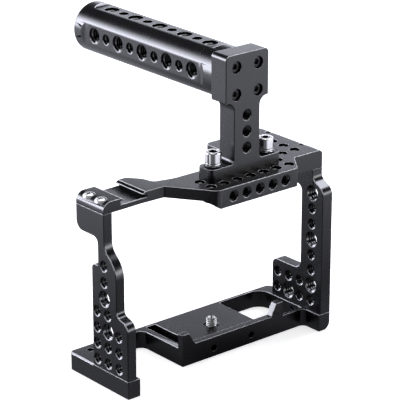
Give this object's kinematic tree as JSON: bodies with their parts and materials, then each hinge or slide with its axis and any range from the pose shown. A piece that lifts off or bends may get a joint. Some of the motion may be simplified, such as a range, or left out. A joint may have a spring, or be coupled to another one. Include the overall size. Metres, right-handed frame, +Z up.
{
  "type": "camera cage",
  "caption": "Machined camera cage with a camera screw, drilled side arms, a cold shoe and a round top handle on a post.",
  "frame": {"origin": "the camera screw's axis at the tray floor", "axes": "+Z up along the camera screw, +X towards the tall side arm, +Y from the tray's lip towards the handle's free end"},
  "size_m": [0.1573, 0.1577, 0.1875],
  "materials": {
    "black_anodised": "satin black anodised, bead blasted",
    "plated_steel": "bright nickel plated",
    "black_steel": "black oxide"
  },
  "bodies": {
    "cage": {"base_plate": "black_anodised", "left_arm": "black_anodised", "right_arm": "black_anodised", "top_plate": "black_anodised", "handle_post": "black_anodised", "handle_grip": "black_anodised", "grip_screws": "black_steel", "lock_washer_left": "plated_steel", "lock_washer_right": "plated_steel", "flat_washer_left": "plated_steel", "flat_washer_right": "plated_steel", "camera_screw_washer": "black_steel", "left_top_screws": "plated_steel", "right_top_screws": "black_steel", "left_foot_screws": "black_steel", "right_foot_screws": "black_steel"},
    "stud": {"camera_screw": "plated_steel", "camera_screw_clip": "black_steel"},
    "bolt_left": {"handle_bolt_left": "plated_steel"},
    "bolt_right": {"handle_bolt_right": "plated_steel"}
  },
  "joints": [
    {"name": "camera_screw_turn", "type": "hinge", "parent": "cage", "child": "stud", "pos_m": [0, 0, 0], "axis": [0, 0, 1], "continuous": true},
    {"name": "bolt_left_turn", "type": "hinge", "parent": "cage", "child": "bolt_left", "pos_m": [-0.0151, -0.0191, 0.103], "axis": [0, 0, 1], "continuous": true},
    {"name": "bolt_right_turn", "type": "hinge", "parent": "cage", "child": "bolt_right", "pos_m": [0.0249, -0.0191, 0.103], "axis": [0, 0, 1], "continuous": true}
  ]
}
